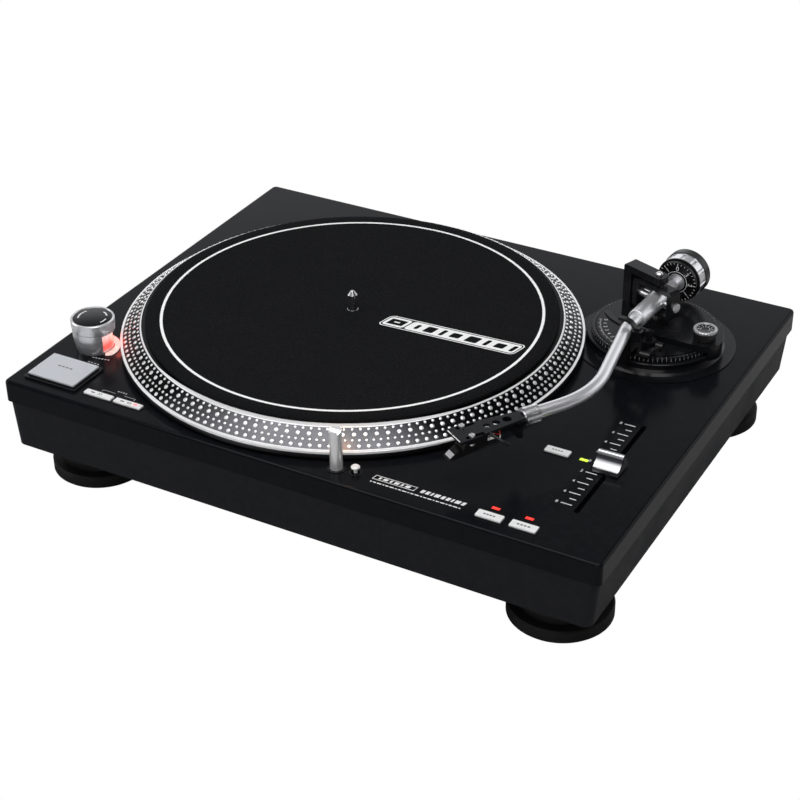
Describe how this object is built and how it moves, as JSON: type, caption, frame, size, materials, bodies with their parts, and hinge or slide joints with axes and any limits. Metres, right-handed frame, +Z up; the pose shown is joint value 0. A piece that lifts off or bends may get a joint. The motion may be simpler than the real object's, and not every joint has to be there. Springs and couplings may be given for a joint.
{
  "type": "turntable record player",
  "caption": "Direct-drive record player with an S-shaped tonearm, felt slipmat, pitch slider, strobe tower and pop-up lamp on a flat rectangular plinth.",
  "frame": {"origin": "on the floor, under the middle of the plinth", "axes": "+X to the right and +Y to the back seen from the front, +Z up; the plinth's long side runs along X"},
  "size_m": [0.45, 0.352, 0.1358],
  "materials": {
    "deck_black": "satin black with a very fine texture",
    "body_black": "matte black",
    "trim_black": "semi-gloss black",
    "arm_black": "satin black paint",
    "foot_rubber": "matte moulded rubber",
    "platter_metal": "turned and polished rim with a band of raised dots",
    "mat_felt": "pressed black felt with a printed white ring",
    "bright_chrome": "polished",
    "silver_satin": "satin anodised silver",
    "steel": "plain steel",
    "silver_cap": "silver painted plastic",
    "red_lens": "clear red, lit",
    "lens_mixed": "clear coloured lenses, lit",
    "ferrite": "sintered ferrite",
    "copper_coil": "enamelled copper wire, treated as solid",
    "board_green": "coated circuit board",
    "gold_contact": "plated brass",
    "lamp_silver": "satin silver"
  },
  "bodies": {
    "plinth": {"top_cover": "deck_black", "base_housing": "body_black", "bottom_cover": "body_black", "cover_screws": "steel", "motor_board": "board_green", "motor_coils": "copper_coil", "spindle_bearing": "gold_contact", "control_board": "board_green", "mains_transformer": "ferrite", "phono_sockets": "gold_contact", "earth_post": "steel", "mains_inlet": "trim_black", "pitch_fader_track": "body_black", "strobe_tower": "silver_satin", "strobe_window": "red_lens", "control_frames": "trim_black", "indicator_lenses": "lens_mixed", "arm_flange": "arm_black"},
    "platter_group": {"platter": "platter_metal", "spindle": "steel", "rotor_magnet": "ferrite", "slipmat": "mat_felt"},
    "power_knob": {"power_knob": "silver_satin"},
    "start_stop_button": {"start_stop_button": "silver_cap"},
    "speed_33_button": {"speed_33_button": "silver_cap"},
    "speed_45_button": {"speed_45_button": "silver_cap"},
    "pitch_reset_button": {"pitch_reset_button": "silver_cap"},
    "reverse_button": {"reverse_button": "silver_cap"},
    "pitch_range_button": {"pitch_range_button": "silver_cap"},
    "lamp_release_button": {"lamp_release_button": "silver_cap"},
    "target_lamp": {"target_lamp": "lamp_silver"},
    "pitch_slider": {"pitch_slider": "silver_cap"},
    "height_ring": {"height_ring": "arm_black"},
    "arm_base": {"arm_base_plate": "arm_black", "arm_yoke": "arm_black", "vertical_pivots": "bright_chrome", "arm_rest": "trim_black"},
    "anti_skate_dial": {"anti_skate_dial": "silver_satin"},
    "arm_clip": {"arm_clip": "trim_black"},
    "cue_lever": {"cue_lever": "trim_black"},
    "cue_lift": {"cue_lift": "trim_black"},
    "gimbal": {"gimbal_ring": "arm_black", "side_pivots": "bright_chrome"},
    "arm": {"arm_housing": "silver_satin", "arm_tube": "silver_satin", "rear_shaft": "silver_satin"},
    "locking_collar": {"locking_collar": "bright_chrome"},
    "headshell_group": {"headshell": "arm_black", "finger_lift": "arm_black", "cartridge": "trim_black", "cartridge_screws": "bright_chrome"},
    "stylus": {"stylus": "trim_black"},
    "weight_sleeve": {"weight_sleeve": "silver_satin"},
    "counterweight": {"counterweight": "bright_chrome"},
    "force_dial": {"force_dial": "trim_black"},
    "foot_front_left": {"foot_front_left": "foot_rubber"},
    "foot_front_right": {"foot_front_right": "foot_rubber"},
    "foot_rear_left": {"foot_rear_left": "foot_rubber"},
    "foot_rear_right": {"foot_rear_right": "foot_rubber"}
  },
  "joints": [
    {"name": "platter_spin", "type": "hinge", "parent": "plinth", "child": "platter_group", "pos_m": [-0.0435, -0.0055, 0.08], "axis": [0, 0, 1], "continuous": true},
    {"name": "power_turn", "type": "hinge", "parent": "plinth", "child": "power_knob", "pos_m": [-0.1955, -0.109, 0.1], "axis": [0, 0, -1], "range_deg": [0, 40]},
    {"name": "start_stop_push", "type": "slide", "parent": "plinth", "child": "start_stop_button", "axis": [0, 0, -1], "range_m": [0, 0.0015], "stiffness_N_per_m": 600},
    {"name": "speed_33_push", "type": "slide", "parent": "plinth", "child": "speed_33_button", "axis": [0, 0, -1], "range_m": [0, 0.0015], "stiffness_N_per_m": 400},
    {"name": "speed_45_push", "type": "slide", "parent": "plinth", "child": "speed_45_button", "axis": [0, 0, -1], "range_m": [0, 0.0015], "stiffness_N_per_m": 400},
    {"name": "pitch_reset_push", "type": "slide", "parent": "plinth", "child": "pitch_reset_button", "axis": [0, 0, -1], "range_m": [0, 0.0015], "stiffness_N_per_m": 400},
    {"name": "reverse_push", "type": "slide", "parent": "plinth", "child": "reverse_button", "axis": [0, 0, -1], "range_m": [0, 0.0015], "stiffness_N_per_m": 400},
    {"name": "pitch_range_push", "type": "slide", "parent": "plinth", "child": "pitch_range_button", "axis": [0, 0, -1], "range_m": [0, 0.0015], "stiffness_N_per_m": 400},
    {"name": "lamp_release_push", "type": "slide", "parent": "plinth", "child": "lamp_release_button", "axis": [0, 0, -1], "range_m": [0, 0.0015], "stiffness_N_per_m": 400},
    {"name": "lamp_pop_up", "type": "slide", "parent": "plinth", "child": "target_lamp", "axis": [0, 0, 1], "range_m": [-0.027, 0], "stiffness_N_per_m": 30},
    {"name": "pitch_slide", "type": "slide", "parent": "plinth", "child": "pitch_slider", "axis": [0, 1, 0], "range_m": [-0.0465, 0.053]},
    {"name": "height_turn", "type": "hinge", "parent": "plinth", "child": "height_ring", "pos_m": [0.1524, 0.0832, 0.09], "axis": [0, 0, 1], "range_deg": [0, 120]},
    {"name": "arm_height", "type": "slide", "parent": "plinth", "child": "arm_base", "axis": [0, 0, 1], "range_m": [0, 0.006]},
    {"name": "anti_skate_turn", "type": "hinge", "parent": "arm_base", "child": "anti_skate_dial", "pos_m": [0.1915, 0.076, 0.1], "axis": [0, 0, -1], "range_deg": [0, 250]},
    {"name": "clip_open", "type": "hinge", "parent": "arm_base", "child": "arm_clip", "pos_m": [0.16028, 0.03253, 0.1161], "axis": [0.0698, 0.9976, 0], "range_deg": [0, 100]},
    {"name": "cue_lever_turn", "type": "hinge", "parent": "arm_base", "child": "cue_lever", "pos_m": [0.16523, 0.04778, 0.099], "axis": [1, 0, 0], "range_deg": [0, 35]},
    {"name": "cue_lift_drop", "type": "slide", "parent": "arm_base", "child": "cue_lift", "axis": [0, 0, -1], "range_m": [0, 0.005]},
    {"name": "arm_swing", "type": "hinge", "parent": "arm_base", "child": "gimbal", "pos_m": [0.1524, 0.0832, 0.1145], "axis": [0, 0, -1], "range_deg": [0, 44]},
    {"name": "arm_tilt", "type": "hinge", "parent": "gimbal", "child": "arm", "pos_m": [0.1524, 0.0832, 0.1145], "axis": [-0.9397, 0.342, 0], "range_deg": [0, 3]},
    {"name": "collar_turn", "type": "hinge", "parent": "arm", "child": "locking_collar", "pos_m": [0.1352, -0.099, 0.1145], "axis": [-0.5299, -0.848, 0], "range_deg": [0, 60]},
    {"name": "headshell_pull", "type": "slide", "parent": "arm", "child": "headshell_group", "axis": [-0.5299, -0.848, 0], "range_m": [0, 0.012]},
    {"name": "stylus_pull", "type": "slide", "parent": "headshell_group", "child": "stylus", "axis": [-0.5299, -0.848, 0], "range_m": [0, 0.01]},
    {"name": "weight_shift", "type": "slide", "parent": "arm", "child": "weight_sleeve", "axis": [-0.0698, -0.9976, 0], "range_m": [-0.005, 0.005]},
    {"name": "weight_turn", "type": "hinge", "parent": "weight_sleeve", "child": "counterweight", "pos_m": [0.15533, 0.1251, 0.1145], "axis": [-0.0698, -0.9976, 0], "range_deg": [-900, 900]},
    {"name": "force_dial_turn", "type": "hinge", "parent": "weight_sleeve", "child": "force_dial", "pos_m": [0.15463, 0.11512, 0.1145], "axis": [-0.0698, -0.9976, 0], "range_deg": [-180, 180]},
    {"name": "foot_front_left_level", "type": "slide", "parent": "plinth", "child": "foot_front_left", "axis": [0, 0, -1], "range_m": [0, 0.005]},
    {"name": "foot_front_right_level", "type": "slide", "parent": "plinth", "child": "foot_front_right", "axis": [0, 0, -1], "range_m": [0, 0.005]},
    {"name": "foot_rear_left_level", "type": "slide", "parent": "plinth", "child": "foot_rear_left", "axis": [0, 0, -1], "range_m": [0, 0.005]},
    {"name": "foot_rear_right_level", "type": "slide", "parent": "plinth", "child": "foot_rear_right", "axis": [0, 0, -1], "range_m": [0, 0.005]}
  ],
  "couplings": [
    {"joint": "arm_height", "follows": "height_turn", "m_per_rad": 0.0028648},
    {"joint": "cue_lever_turn", "follows": "cue_lift_drop", "rad_per_m": 122.17},
    {"joint": "weight_shift", "follows": "weight_turn", "m_per_rad": 0.00031831}
  ]
}
